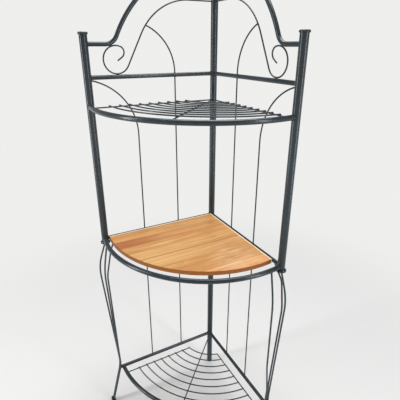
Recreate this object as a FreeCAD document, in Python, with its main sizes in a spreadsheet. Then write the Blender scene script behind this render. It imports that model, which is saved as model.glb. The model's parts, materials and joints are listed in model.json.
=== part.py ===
"""Corner bakers rack: a quarter-round tubular steel stand with a glued-up wood shelf,
a wire shelf above it and another near the floor.

The rear post stands on the origin, +Z is up, and the open, bowed front faces -Y.
Each side panel is flat: it runs from the rear post to a front post, 45 degrees to
the right or to the left of -Y. Lengths are in millimetres, angles in degrees.
"""
import FreeCAD, Part
import math
import os
import re

import Sketcher

Vector = FreeCAD.Vector
UP = Vector(0, 0, 1)

# The driving dimensions. Each becomes one cell of the sheet, with its name as the alias.
SIZES = {
    # plan and stock
    "side_length": 460,           # rear post to front post, centre to centre
    "front_bow": 172.2,           # how far the front tubes bow out past the front posts
    "post_diameter": 25,
    "post_wall": 1.2,
    "rail_diameter": 14,          # the rails and the arches
    "rail_wall": 1.0,
    "front_tube_diameter": 16,    # the three bowed front tubes
    "wire_diameter": 4.8,
    "rod_diameter": 6.35,         # the three rods of each front leg
    "weld_gap": 0.05,             # welded pieces stand this far apart, so that none overlap
    # heights of the frame
    "bottom_rail_height": 180,
    "middle_rail_height": 828,
    "top_shelf_height": 1313,     # front tube over the upper wire shelf
    "top_rail_height": 1401,
    "arch_foot_rise": 98.5,       # top rail to the arch tube where it meets the front post
    "arch_height": 250.5,         # foot of the arch to its peak at the rear post
    "front_post_rise": 27.5,      # front post above the foot of the arch
    "rear_post_rise": 14,         # rear post above the peak of the arch
    # knock-down joint, where the upper half lifts off the lower one
    "joint_rise": 22,             # middle rail to the joint
    "spigot_length": 60,
    "spigot_wall": 1.5,
    "slip_clearance": 0.15,       # round a piece that slides into a tube
    # post ends
    "cap_overhang": 2.75,         # a cap's rim past the side of its post
    "cap_height": 7,
    "cap_round": 4,
    "plug_length": 16,
    "collar_wall": 1.7,           # round the post, at the collar's top
    "collar_flare": 3.5,          # how much wider the collar is at its lip
    "collar_lip": 4,
    "collar_height": 8.5,
    "collar_floor": 3,
    "collar_gap": 0.5,            # between the collar and the front tube above it
    "rear_foot_height": 5,
    # arch and scroll of each side panel
    "arch_radius": 393,
    "arch_bend": 42,              # radius of the small bend at the foot of the arch
    "scroll_drop": 114,           # peak of the arch to the level end of the scroll
    "shoulder_bend": 195.9,
    "scroll_slope": 62.6,
    "curl_inset": 98.3,           # front post to the middle of the curl
    "eye_start": 109,             # where round the curl its tighter inner turn begins
    "eye_radius": 18.7,
    "eye_turn": 126,
    "eye_run": 18,                # straight end of the scroll, across the middle of the curl
    # upright wires of each side panel
    "inner_wire_place": 157.6,
    "outer_wire_place": 303,
    "arch_wire_bend": 160,
    "butt_clearance": 0.6,        # a wire's square end, short of the round wire it butts on
    "outer_wire_bend": 190,
    # wire shelves: arcs about the rear post, lying on ribs
    "top_first_arc": 120,
    "top_arc_pitch": 35,
    "top_arc_count": 9,
    "top_rib_drop": 6,            # middle of the top front tube to the middle of the ribs
    "bottom_first_arc": 138,
    "bottom_arc_pitch": 35,
    "bottom_arc_count": 8,
    "bottom_rib_inset": 34,       # side ribs of the lower shelf, in from the side panels
    "bottom_tube_inset": 12,      # end of the bottom rails to the middle of the bottom front tube
    "wire_overhang": 3,           # a rib's free end past the wire or tube that it crosses
    # wood shelf
    "board_thickness": 16,
    "board_side_gap": 9,          # straight edges, in from the middle of the side rails
    "board_front_gap": 39,        # front edge, in from the middle of the front tube
    "board_radius_drop": 9.3,     # how much tighter the front edge curves than the front tube
    "board_skew": 14,             # centre of the front edge, left of the middle
    "board_ease": 1.5,
    "bar_width": 20,
    "bar_thickness": 3,
    "bar_overhang": 6,            # support bar past the middle of each side rail
    "rear_bar_place": 130,
    "front_bar_place": 250,
    "screw_diameter": 4,
    "screw_head": 8,
    "screw_head_height": 2.5,
    "screw_grip": 12,             # how deep each screw bites into the board
    "screw_clearance": 0.5,       # round a screw where it passes through a bar
    "pilot_clearance": 0.1,
    "screw_share": 0.5,           # screws stand this share of the way out along each bar
    # front legs: "in" and "out" are along the side panel from the front post's axis,
    # "width" is across it, and "drop" is down from the middle rail
    "knee_out": 33.7,
    "knee_drop": 113.7,
    "knee_bend": 280,
    "ankle_in": 8,
    "ankle_height": 200,
    "ankle_bend": 210,
    "toe_out": 43.3,
    "side_rod_place": 37.5,       # top of the side rod, in along the side rail
    "side_knee_in": 20.8,
    "side_knee_width": 28.4,
    "side_knee_drop": 80.6,
    "side_knee_bend": 70,
    "side_turn_out": 2.8,
    "side_turn_width": 20.9,
    "side_turn_height": 648,
    "side_turn_bend": 150,
    "side_join_height": 300,      # where the side rod comes in beside the main rod
    "side_join_in": 4.5,          # how far in from the main rod it still is there
    "side_join_bend": 100,
    "front_rod_place": 45.2,      # top of the front rod, in along the front tube
    "front_knee_out": 25.9,
    "front_knee_width": 43.3,
    "front_knee_drop": 114.7,
    "front_knee_bend": 400,
    "waist_out": 9.1,
    "waist_width": 27.8,
    "waist_height": 406,
    "waist_bend": 300,
    "front_join_height": 262,
    "front_join_bend": 150,
    # feet under the front legs
    "leg_foot_height": 14,
    "leg_foot_floor": 3,
    "leg_foot_wall": 3,
    "leg_foot_round": 4,
}

# Plan angle of each heading, and of the way that leads inside the rack from it.
HEADING_ANGLES = {"right": (-45, -135), "left": (-135, -45), "centre": (-90, 0)}
SIDE_SIGNS = {"right": 1, "left": -1}

DOC = FreeCAD.newDocument("corner_bakers_rack")
PIECES = []


def make_sheet():
    sheet = DOC.addObject("Spreadsheet::Sheet", "Sizes")
    for row, (name, value) in enumerate(SIZES.items(), start=1):
        sheet.set(f"A{row}", name)
        sheet.set(f"B{row}", str(value))
        sheet.setAlias(f"B{row}", name)
    DOC.recompute()
    return sheet


SHEET = make_sheet()


def formula(text):
    """The text with each size's name turned into its cell of the sheet."""
    def cell(match):
        return "Sizes." + match[0] if match[0] in SIZES else match[0]
    return re.sub(r"\b[a-z]\w*", cell, str(text))


def number(text):
    """What a formula over the sheet comes to."""
    value = SHEET.evalExpression(formula(text))
    return float(getattr(value, "Value", value))


def bind(thing, name, text):
    thing.setExpression(name, formula(text))


# Formulas that several pieces share.
POST_RADIUS = "(post_diameter / 2 + weld_gap)"
POST_BORE = "(post_diameter - 2 * post_wall)"
RAIL_RADIUS = "(rail_diameter / 2 + weld_gap)"
TUBE_RADIUS = "(front_tube_diameter / 2 + weld_gap)"
WIRE_RADIUS = "(wire_diameter / 2 + weld_gap)"
ROD_PITCH = "(rod_diameter + weld_gap)"
CORNER = "(side_length / sqrt(2))"
FRONT_RADIUS = f"((pow({CORNER}; 2) + pow(front_bow; 2)) / (2 * front_bow))"
FRONT_REACH = f"({CORNER} + front_bow)"
JOINT_HEIGHT = "(middle_rail_height + joint_rise)"
COLLAR_BOTTOM = "(middle_rail_height - front_tube_diameter / 2 - collar_gap - collar_height)"
ARCH_FOOT = "(top_rail_height + arch_foot_rise)"
ARCH_PEAK = f"({ARCH_FOOT} + arch_height)"
KNEE_HEIGHT = "(middle_rail_height - knee_drop)"
BOARD_BOTTOM = "(middle_rail_height - rail_diameter / 2)"
SHIN_SLOPE = f"((knee_out + ankle_in) / ({KNEE_HEIGHT} - ankle_height))"
TOE_SLOPE = "((toe_out + ankle_in) / ankle_height)"


def ankle_reach():
    """Distance from the rear post to a front leg's middle rod at the top of the bottom rail."""
    above = f"atan({SHIN_SLOPE} - side_join_in / (side_join_height - ankle_height))"
    below = f"atan({TOE_SLOPE})"
    tangent = f"ankle_bend * tan(({above} + {below}) / 2)"
    centre_place = f"(side_length - ankle_in + {tangent} * sin({above}) + ankle_bend * cos({above}))"
    centre_height = f"(ankle_height + {tangent} * cos({above}) - ankle_bend * sin({above}))"
    height = "(bottom_rail_height + rail_diameter / 2)"
    return f"({centre_place} - sqrt(pow(ankle_bend; 2) - pow({height} - {centre_height}; 2)))"


RAIL_END = f"({ankle_reach()} - rod_diameter / 2 - weld_gap)"
BOTTOM_RADIUS = f"({RAIL_END} - bottom_tube_inset)"


# Helpers for bodies and sketches

def keep(piece, name):
    """Name a finished piece and list it for writing."""
    piece.Label = name
    PIECES.append(piece)
    return piece


def place(piece, heading="centre", along=0, inside=0, height=0, lay_down=False):
    """Stand a piece in plan by its distance along a heading, and inside it, at a height."""
    ahead, inward = HEADING_ANGLES[heading]
    turn = FreeCAD.Rotation(UP, ahead)
    if lay_down:
        turn = turn.multiply(FreeCAD.Rotation(Vector(0, 1, 0), 90))
    piece.Placement = FreeCAD.Placement(Vector(), turn)
    bind(piece, ".Placement.Base.x", f"({along}) * cos({ahead}) + ({inside}) * cos({inward})")
    bind(piece, ".Placement.Base.y", f"({along}) * sin({ahead}) + ({inside}) * sin({inward})")
    bind(piece, ".Placement.Base.z", height)


def new_body(name):
    body = DOC.addObject("PartDesign::Body", name)
    body.AllowCompound = True
    return body


def new_sketch(body, name, role):
    sketch = body.newObject("Sketcher::SketchObject", name)
    plane = next(item for item in body.Origin.OriginFeatures if item.Role == role)
    sketch.AttachmentSupport = [(plane, "")]
    sketch.MapMode = "FlatFace"
    return sketch


def hold(sketch, text, kind, *elements):
    """Add a dimension to a sketch and tie it to the sheet."""
    value = number(text)
    if kind == "Angle":
        value = math.radians(value)
    index = sketch.addConstraint(Sketcher.Constraint(kind, *elements, value))
    label = f"size{index}"
    sketch.renameConstraint(index, label)
    bind(sketch, "Constraints." + label, text)


def pin(sketch, geometry, point, across, up):
    """Hold a point of a sketch at its distances from the sketch's origin."""
    for kind, axis, text in (("DistanceX", -2, across), ("DistanceY", -1, up)):
        if text == 0:
            sketch.addConstraint(Sketcher.Constraint("PointOnObject", geometry, point, axis))
        elif number(text) > 0:
            hold(sketch, text, kind, -1, 1, geometry, point)
        else:
            hold(sketch, f"-({text})", kind, geometry, point, -1, 1)


def add_circle(sketch, diameter, across=0, up=0):
    centre = Vector(number(across), number(up), 0)
    index = sketch.addGeometry(Part.Circle(centre, UP, number(diameter) / 2))
    pin(sketch, index, 3, across, up)
    hold(sketch, diameter, "Diameter", index)


def add_outline(sketch, corners):
    """A closed run of straight lines through corners, each held from the origin."""
    points = [Vector(number(across), number(up), 0) for across, up in corners]
    first = sketch.GeometryCount
    count = len(points)
    for index, point in enumerate(points):
        sketch.addGeometry(Part.LineSegment(point, points[(index + 1) % count]))
    for index in range(count):
        following = first + (index + 1) % count
        sketch.addConstraint(Sketcher.Constraint("Coincident", first + index, 2, following, 1))
    for index, (across, up) in enumerate(corners):
        pin(sketch, first + index, 1, across, up)


def add_rectangle(sketch, length, width):
    """A rectangle about the sketch's origin."""
    half_length = f"({length}) / 2"
    half_width = f"({width}) / 2"
    add_outline(sketch, [
        (f"-({half_length})", f"-({half_width})"),
        (half_length, f"-({half_width})"),
        (half_length, half_width),
        (f"-({half_length})", half_width),
    ])


def add_section(body, role, diameter, wall=None, across=0):
    """A round bar's section, or a tube's where a wall is given."""
    sketch = new_sketch(body, "Section", role)
    add_circle(sketch, diameter, across)
    if wall:
        add_circle(sketch, f"{diameter} - 2 * {wall}", across)
    return sketch


def pad(body, sketch, length):
    feature = body.newObject("PartDesign::Pad", "Pad")
    feature.Profile = sketch
    bind(feature, "Length", length)
    return feature


def cut(body, sketch, depth=None):
    """Pocket upwards to a depth, or both ways through all, and check that it cuts."""
    DOC.recompute()
    before = body.Shape.Volume
    feature = body.newObject("PartDesign::Pocket", "Cut")
    feature.Profile = sketch
    if depth is None:
        feature.Type = "ThroughAll"
        feature.SideType = "Symmetric"
    else:
        feature.Reversed = True
        bind(feature, "Length", depth)
    DOC.recompute()
    if not body.Shape.Volume < before:
        raise RuntimeError(f"{body.Name}: the cut removes nothing")
    return feature


def revolve(body, sketch, angle=360):
    """Turn a section about the sketch's upright axis, evenly to both sides."""
    feature = body.newObject("PartDesign::Revolution", "Sweep")
    feature.Profile = sketch
    feature.ReferenceAxis = (sketch, ["V_Axis"])
    feature.Midplane = True
    bind(feature, "Angle", angle)
    return feature


def cope_to_posts(body, centres):
    """Cut the ends of a tube to the round of the posts that they meet."""
    sketch = new_sketch(body, "Cope", "XY_Plane")
    for across, up in centres:
        add_circle(sketch, f"2 * {POST_RADIUS}", across, up)
    return cut(body, sketch)


def round_edges(body, base, radius, wanted):
    """Fillet the edges of a feature that pass a test."""
    DOC.recompute()
    names = [f"Edge{index}" for index, edge in enumerate(base.Shape.Edges, start=1) if wanted(edge)]
    fillet = body.newObject("PartDesign::Fillet", "Round")
    fillet.Base = (base, names)
    bind(fillet, "Radius", radius)
    body.Tip = fillet
    return fillet


def is_upright(edge):
    box = edge.BoundBox
    return box.ZLength > max(box.XLength, box.YLength)


def is_rim(edge, height):
    """Whether an edge is a full circle at a height."""
    return edge.isClosed() and math.isclose(edge.BoundBox.ZMin, height, abs_tol=1e-6)


# Helpers for bars, bent wires and turned pieces

def upright_bar(name, heading, along, bottom, top, diameter, wall=None):
    """A round bar or tube that stands between two heights."""
    body = new_body(name)
    pad(body, add_section(body, "XY_Plane", diameter, wall), f"({top}) - ({bottom})")
    place(body, heading, along, 0, bottom)
    return keep(body, name)


def level_bar(name, heading, height, end, diameter, wall=None, inside=0, coped_to=()):
    """A level bar from the rear post's axis outwards, its ends coped to the posts it meets."""
    body = new_body(name)
    pad(body, add_section(body, "YZ_Plane", diameter, wall), end)
    offset = f"{SIDE_SIGNS[heading]} * ({inside})" if inside else 0
    cope_to_posts(body, [(post, offset) for post in coped_to])
    place(body, heading, 0, inside, height)
    return keep(body, name)


def plain_rod(name, heading, height, start, end, diameter, inside):
    """A level rod with square ends."""
    rod = DOC.addObject("Part::Cylinder", name)
    bind(rod, "Radius", f"{diameter} / 2")
    bind(rod, "Height", f"({end}) - ({start})")
    place(rod, heading, start, inside, height, lay_down=True)
    return keep(rod, name)


def add_route(body, moves, climbs):
    """Draw a bent wire's centre line on the XZ plane, from the origin.

    It sets off along +X, or along +Z where it climbs. A move is ("run", length) or
    ("bend", radius, turn, side), with side 1 for a left turn and -1 for a right one.
    """
    sketch = new_sketch(body, "Route", "XZ_Plane")
    spot = Vector()
    facing = math.pi / 2 if climbs else 0
    previous = None
    for kind, *values in moves:
        length = number(values[0])
        if kind == "run":
            ahead = Vector(math.cos(facing), math.sin(facing), 0)
            index = sketch.addGeometry(Part.LineSegment(spot, spot + ahead * length))
            spot = spot + ahead * length
            entry, leave = 1, 2
        else:
            side = values[2]
            turn = math.radians(number(values[1]))
            centre = spot + Vector(-math.sin(facing), math.cos(facing), 0) * side * length
            start = facing - side * math.pi / 2
            ends = sorted((start, start + side * turn))
            index = sketch.addGeometry(Part.ArcOfCircle(Part.Circle(centre, UP, length), *ends))
            facing += side * turn
            spot = centre + Vector(math.sin(facing), -math.cos(facing), 0) * side * length
            entry, leave = (1, 2) if side > 0 else (2, 1)
        if previous:
            sketch.addConstraint(Sketcher.Constraint("Tangent", *previous, index, entry))
        else:
            sketch.addConstraint(Sketcher.Constraint("Coincident", index, entry, -1, 1))
        if kind == "run":
            hold(sketch, values[0], "Distance", index)
            if not previous:
                sketch.addConstraint(Sketcher.Constraint("Vertical" if climbs else "Horizontal", index))
        else:
            hold(sketch, values[0], "Radius", index)
            hold(sketch, values[1], "Angle", index)
            if not previous:
                axis = -1 if climbs else -2
                sketch.addConstraint(Sketcher.Constraint("PointOnObject", index, 3, axis))
        previous = (index, leave)
    return sketch


def bent_bar(name, moves, diameter, wall=None, climbs=False):
    """A bar or tube bent in the plane of a side panel."""
    body = new_body(name)
    route = add_route(body, moves, climbs)
    section = add_section(body, "XY_Plane" if climbs else "YZ_Plane", diameter, wall)
    pipe = body.newObject("PartDesign::AdditivePipe", "Pipe")
    pipe.Profile = section
    pipe.Spine = (route, [])
    return body


def turned_piece(name, corners, heading, along, height):
    """A round piece turned from an outline of radii and heights."""
    body = new_body(name)
    sketch = new_sketch(body, "Profile", "XZ_Plane")
    add_outline(sketch, corners)
    base = revolve(body, sketch)
    place(body, heading, along, 0, height)
    keep(body, name)
    return body, base


# Posts and their ends

def make_posts():
    """The rear post and the front posts, each in two lengths that part above the board."""
    rear_top = f"{ARCH_PEAK} + rear_post_rise"
    front_top = f"{ARCH_FOOT} + front_post_rise"
    stub_bottom = f"{COLLAR_BOTTOM} + collar_floor"
    tube = ("post_diameter", "post_wall")
    upright_bar("rear_post_lower", "centre", 0, "rear_foot_height", JOINT_HEIGHT, *tube)
    upright_bar("rear_post_upper", "centre", 0, JOINT_HEIGHT, rear_top, *tube)
    for side in SIDE_SIGNS:
        upright_bar(f"front_post_stub_{side}", side, "side_length", stub_bottom, JOINT_HEIGHT, *tube)
        upright_bar(f"front_post_{side}", side, "side_length", JOINT_HEIGHT, front_top, *tube)


def make_spigots():
    """Short tubes inside each post, which line up its two lengths."""
    diameter = f"({POST_BORE} - 2 * slip_clearance)"
    bottom = f"{JOINT_HEIGHT} - spigot_length / 2"
    top = f"{JOINT_HEIGHT} + spigot_length / 2"
    upright_bar("spigot_rear", "centre", 0, bottom, top, diameter, "spigot_wall")
    for side in SIDE_SIGNS:
        upright_bar(f"spigot_{side}", side, "side_length", bottom, top, diameter, "spigot_wall")


def make_cap(name, heading, along, height):
    """A push-in cap: a round head with a softened top, and a plug that fills the bore."""
    plug = f"({POST_BORE} / 2 - slip_clearance)"
    rim = "(post_diameter / 2 + cap_overhang)"
    body, base = turned_piece(name, [
        (0, "-plug_length"),
        (plug, "-plug_length"),
        (plug, 0),
        (rim, 0),
        (rim, "cap_height"),
        (0, "cap_height"),
    ], heading, along, height)
    top = number("cap_height")
    round_edges(body, base, "cap_round", lambda edge: is_rim(edge, top))


def make_caps():
    make_cap("post_cap_rear", "centre", 0, f"{ARCH_PEAK} + rear_post_rise")
    for side in SIDE_SIGNS:
        make_cap(f"post_cap_{side}", side, "side_length", f"{ARCH_FOOT} + front_post_rise")


def make_collars():
    """Flared cups that close the front posts' lower ends, on top of the legs."""
    neck = f"({POST_RADIUS} + collar_wall)"
    lip = f"({neck} + collar_flare)"
    for side in SIDE_SIGNS:
        turned_piece(f"post_collar_{side}", [
            (0, 0),
            (lip, 0),
            (lip, "collar_lip"),
            (neck, "collar_height"),
            (POST_RADIUS, "collar_height"),
            (POST_RADIUS, "collar_floor"),
            (0, "collar_floor"),
        ], side, "side_length", COLLAR_BOTTOM)


def make_rear_foot():
    """A glide under the rear post, with a plug inside the tube."""
    plug = f"({POST_BORE} / 2 - slip_clearance)"
    top = "rear_foot_height + plug_length"
    turned_piece("rear_post_foot", [
        (0, 0),
        ("post_diameter / 2", 0),
        ("post_diameter / 2", "rear_foot_height"),
        (plug, "rear_foot_height"),
        (plug, top),
        (0, top),
    ], "centre", 0, 0)


# Rails, front tubes and the arched side panels

def make_side_rails():
    tube = ("rail_diameter", "rail_wall")
    for side in SIDE_SIGNS:
        level_bar(f"bottom_rail_{side}", side, "bottom_rail_height", RAIL_END, *tube, coped_to=[0])
        for level in ("middle", "top"):
            level_bar(f"{level}_rail_{side}", side, f"{level}_rail_height", "side_length", *tube,
                      coped_to=[0, "side_length"])


def make_front_tube(name, height):
    """A tube that bows out from one front post to the other."""
    body = new_body(name)
    section = add_section(body, "YZ_Plane", "front_tube_diameter", "rail_wall", f"-{FRONT_RADIUS}")
    back = f"({FRONT_RADIUS} - front_bow)"
    revolve(body, section, f"2 * atan({CORNER} / {back})")
    cope_to_posts(body, [(f"-{CORNER}", f"-{back}"), (CORNER, f"-{back}")])
    bind(body, ".Placement.Base.y", f"{back} - {CORNER}")
    bind(body, ".Placement.Base.z", height)
    return keep(body, name)


def make_bottom_front_tube():
    """A quarter hoop about the rear post, butted on the bottom rails inside the legs."""
    name = "front_tube_bottom"
    body = new_body(name)
    section = add_section(body, "YZ_Plane", "front_tube_diameter", "rail_wall", f"-{BOTTOM_RADIUS}")
    inner_radius = f"({BOTTOM_RADIUS} - front_tube_diameter / 2)"
    revolve(body, section, f"90 deg - 2 * asin({RAIL_RADIUS} / {inner_radius})")
    bind(body, ".Placement.Base.z", "bottom_rail_height")
    return keep(body, name)


def make_front_tubes():
    make_bottom_front_tube()
    make_front_tube("front_tube_middle", "middle_rail_height")
    make_front_tube("front_tube_top", "top_shelf_height")


ARCH_TURN = "acos(1 - arch_height / (arch_radius + arch_bend))"
ARCH_SPAN = f"((arch_radius + arch_bend) * sin({ARCH_TURN}))"


def make_arch_tubes():
    """The big quarter arch from the rear post down to each front post."""
    moves = [
        ("bend", "arch_radius", ARCH_TURN, -1),
        ("bend", "arch_bend", ARCH_TURN, 1),
        ("run", f"side_length - {ARCH_SPAN}"),
    ]
    for side in SIDE_SIGNS:
        name = f"arch_tube_{side}"
        body = bent_bar(name, moves, "rail_diameter", "rail_wall")
        cope_to_posts(body, [(0, 0), ("side_length", 0)])
        place(body, side, 0, 0, ARCH_PEAK)
        keep(body, name)


# The curl rests on the top rail and touches the bend of the arch, so its radius follows
# from the three distances between them.
CURL_SEAT = f"(top_rail_height + {RAIL_RADIUS} + wire_diameter / 2)"
CURL_PLACE = "(side_length - curl_inset)"
BEND_REACH = f"(arch_bend + {RAIL_RADIUS} + wire_diameter / 2)"
BEND_ACROSS = f"({ARCH_SPAN} - {CURL_PLACE})"
BEND_ABOVE = f"({ARCH_FOOT} + arch_bend - {CURL_SEAT})"
CURL_RADIUS = (f"((pow({BEND_ACROSS}; 2) + pow({BEND_ABOVE}; 2) - pow({BEND_REACH}; 2))"
               f" / (2 * ({BEND_ABOVE} + {BEND_REACH})))")
CURL_HEIGHT = f"({CURL_SEAT} + {CURL_RADIUS})"
SCROLL_HEIGHT = f"({ARCH_PEAK} - scroll_drop)"
SLOPE_TOP = f"({SCROLL_HEIGHT} - shoulder_bend * (1 - cos(scroll_slope)))"
SLOPE_FOOT = f"({CURL_HEIGHT} - {CURL_RADIUS} * cos(scroll_slope))"
SLOPE_LENGTH = f"(({SLOPE_TOP} - {SLOPE_FOOT}) / sin(scroll_slope))"
SHOULDER_PLACE = (f"({CURL_PLACE} - {CURL_RADIUS} * sin(scroll_slope)"
                  f" - {SLOPE_LENGTH} * cos(scroll_slope) - shoulder_bend * sin(scroll_slope))")


def make_scroll_wires():
    """An S scroll from the rear post, over a shoulder, down and round into a curl with a plain end."""
    moves = [
        ("run", SHOULDER_PLACE),
        ("bend", "shoulder_bend", "scroll_slope * 1 deg", -1),
        ("run", SLOPE_LENGTH),
        ("bend", CURL_RADIUS, "(90 + scroll_slope + eye_start) * 1 deg", 1),
        ("bend", "eye_radius", "eye_turn * 1 deg", 1),
        ("run", "eye_run"),
    ]
    for side in SIDE_SIGNS:
        name = f"scroll_wire_{side}"
        body = bent_bar(name, moves, "wire_diameter")
        cope_to_posts(body, [(0, 0)])
        place(body, side, 0, 0, SCROLL_HEIGHT)
        keep(body, name)


def make_upright_wires():
    """Upright wires between the rails of each side panel."""
    lower = f"bottom_rail_height + {RAIL_RADIUS}"
    under_middle = f"middle_rail_height - {RAIL_RADIUS}"
    over_middle = f"middle_rail_height + {RAIL_RADIUS}"
    under_top = f"top_rail_height - {RAIL_RADIUS}"
    for side in SIDE_SIGNS:
        for row in ("inner", "outer"):
            upright_bar(f"lower_{row}_wire_{side}", side, f"{row}_wire_place", lower, under_middle,
                        "wire_diameter")
        upright_bar(f"upper_inner_wire_{side}", side, "inner_wire_place", over_middle, under_top,
                    "wire_diameter")


def make_outer_wires():
    """Wires that rise from the middle rail and sweep out to the post, just under the top rail."""
    to_axis = "(side_length - outer_wire_place)"
    to_face = f"({to_axis} - post_diameter / 2)"
    sweep_rise = f"sqrt(pow(outer_wire_bend; 2) - pow(outer_wire_bend - {to_face}; 2))"
    foot = f"(middle_rail_height + {RAIL_RADIUS})"
    top = f"(top_rail_height - {RAIL_RADIUS} - wire_diameter / 2)"
    moves = [
        ("run", f"{top} - {sweep_rise} - {foot}"),
        ("bend", "outer_wire_bend", f"acos(1 - {to_axis} / outer_wire_bend)", -1),
    ]
    for side in SIDE_SIGNS:
        name = f"upper_outer_wire_{side}"
        body = bent_bar(name, moves, "wire_diameter", climbs=True)
        cope_to_posts(body, [(to_axis, 0)])
        place(body, side, "outer_wire_place", 0, foot)
        keep(body, name)


def make_arch_wires():
    """Wires that carry on above the top rail and sweep out to butt on the scroll's shoulder."""
    foot = f"(top_rail_height + {RAIL_RADIUS})"
    across = f"(inner_wire_place + arch_wire_bend - {SHOULDER_PLACE})"
    up = f"({foot} - {SCROLL_HEIGHT} + shoulder_bend)"
    apart = f"sqrt(pow({across}; 2) + pow({up}; 2))"
    inside = "(shoulder_bend - wire_diameter / 2 - butt_clearance)"
    reach = f"((pow({inside}; 2) - pow({apart}; 2) - pow(arch_wire_bend; 2)) / (2 * arch_wire_bend))"
    turn = f"atan2({across}; {up}) + asin({reach} / {apart})"
    for side in SIDE_SIGNS:
        name = f"arch_wire_{side}"
        body = bent_bar(name, [("bend", "arch_wire_bend", turn, -1)], "wire_diameter", climbs=True)
        place(body, side, "inner_wire_place", 0, foot)
        keep(body, name)


# Wire shelves

def make_arc_wires(name, first, pitch, count, edge, height):
    """Concentric wires about the rear post, each cut off a distance in from the side panels."""
    body = new_body(name)
    for index in range(int(number(count))):
        radius = f"({first} + {index} * {pitch})"
        section = add_section(body, "YZ_Plane", "wire_diameter", None, f"-{radius}")
        revolve(body, section, f"90 deg - 2 * asin({edge} / {radius})")
    bind(body, ".Placement.Base.z", height)
    return keep(body, name)


def make_top_shelf():
    """Ribs a little below the front tube's middle, the side ones against the upright wires."""
    rib_height = "(top_shelf_height - top_rib_drop)"
    rib_inset = "(wire_diameter + weld_gap)"
    tube_side = "sqrt(pow(front_tube_diameter / 2; 2) - pow(top_rib_drop - wire_diameter / 2; 2))"
    for side in SIDE_SIGNS:
        level_bar(f"top_rib_{side}", side, rib_height, "side_length", "wire_diameter",
                  inside=rib_inset, coped_to=[0, "side_length"])
    clear_of_side_ribs = f"sqrt(2) * ({rib_inset} + {WIRE_RADIUS}) + {WIRE_RADIUS}"
    plain_rod("top_rib_centre", "centre", rib_height, clear_of_side_ribs,
              f"{FRONT_REACH} - {tube_side} - weld_gap", "wire_diameter", 0)
    make_arc_wires("top_arc_wires", "top_first_arc", "top_arc_pitch", "top_arc_count",
                   rib_inset, f"{rib_height} + wire_diameter + weld_gap")


def make_bottom_shelf():
    """Ribs under the lower front tube, set well in from the side panels."""
    rib_height = f"(bottom_rail_height - {TUBE_RADIUS} - wire_diameter / 2)"
    inset = "bottom_rib_inset"
    start = f"sqrt(pow(bottom_first_arc; 2) - pow({inset}; 2)) - wire_overhang"
    end = f"sqrt(pow({BOTTOM_RADIUS}; 2) - pow({inset}; 2)) + wire_overhang"
    for side in SIDE_SIGNS:
        plain_rod(f"bottom_rib_{side}", side, rib_height, start, end, "wire_diameter", inset)
    level_bar("bottom_rib_centre", "centre", rib_height, f"{BOTTOM_RADIUS} + wire_overhang",
              "wire_diameter", coped_to=[0])
    make_arc_wires("bottom_arc_wires", "bottom_first_arc", "bottom_arc_pitch",
                   "bottom_arc_count", inset,
                   f"{rib_height} + wire_diameter + weld_gap")


# Wood shelf and what it stands on

BARS = ("rear", "front")


def screw_places():
    """Two screws in each bar, evenly to either side of the middle."""
    return [(f"{hand} * screw_share * {bar}_bar_place", f"-{bar}_bar_place")
            for bar in BARS for hand in (-1, 1)]


def make_board():
    """The glued-up board: two straight edges along the rails and a bowed front edge."""
    body = new_body("board")
    sketch = new_sketch(body, "Outline", "XY_Plane")
    front_edge = f"({FRONT_RADIUS} - board_radius_drop)"
    rear = (0, "-board_side_gap * sqrt(2)")
    centre = ("-board_skew", f"-({FRONT_REACH} - board_front_gap - {front_edge})")
    corner = Vector(0, number(rear[1]), 0)
    middle = Vector(number(centre[0]), number(centre[1]), 0)
    radius = number(front_edge)
    tips = []
    for hand in (1, -1):
        ahead = Vector(hand, -1, 0).normalize()
        offset = corner - middle
        near = offset.dot(ahead)
        reach = math.sqrt(near * near - offset.dot(offset) + radius * radius) - near
        tips.append(corner + ahead * reach)
    right, left = tips
    sketch.addGeometry([Part.LineSegment(right, corner), Part.LineSegment(left, corner)])
    ends = [math.atan2(tip.y - middle.y, tip.x - middle.x) for tip in (left, right)]
    arc = sketch.addGeometry(Part.ArcOfCircle(Part.Circle(middle, UP, radius), *ends))
    sketch.addConstraint(Sketcher.Constraint("Coincident", 0, 2, 1, 2))
    sketch.addConstraint(Sketcher.Constraint("Coincident", arc, 1, 1, 1))
    sketch.addConstraint(Sketcher.Constraint("Coincident", arc, 2, 0, 1))
    sketch.addConstraint(Sketcher.Constraint("Angle", 0, math.radians(135)))
    sketch.addConstraint(Sketcher.Constraint("Angle", 1, math.radians(45)))
    pin(sketch, 0, 2, *rear)
    pin(sketch, arc, 3, *centre)
    hold(sketch, front_edge, "Radius", arc)
    slab = pad(body, sketch, "board_thickness")
    round_edges(body, slab, "board_ease", lambda edge: True)
    pilots = new_sketch(body, "Pilots", "XY_Plane")
    for across, up in screw_places():
        add_circle(pilots, "screw_diameter + pilot_clearance", across, up)
    cut(body, pilots, "screw_grip + bar_thickness")
    bind(body, ".Placement.Base.z", BOARD_BOTTOM)
    return keep(body, "board")


def make_support_bars():
    """Flat bars welded under the middle rails, which the board lies on."""
    for bar in BARS:
        name = f"board_bar_{bar}"
        body = new_body(name)
        sketch = new_sketch(body, "Bar", "XY_Plane")
        add_rectangle(sketch, f"2 * ({bar}_bar_place + bar_overhang)", "bar_width")
        for hand in (-1, 1):
            add_circle(sketch, "screw_diameter + screw_clearance",
                       f"{hand} * screw_share * {bar}_bar_place")
        pad(body, sketch, "bar_thickness")
        bind(body, ".Placement.Base.y", f"-{bar}_bar_place")
        bind(body, ".Placement.Base.z", f"{BOARD_BOTTOM} - bar_thickness")
        keep(body, name)


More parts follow.
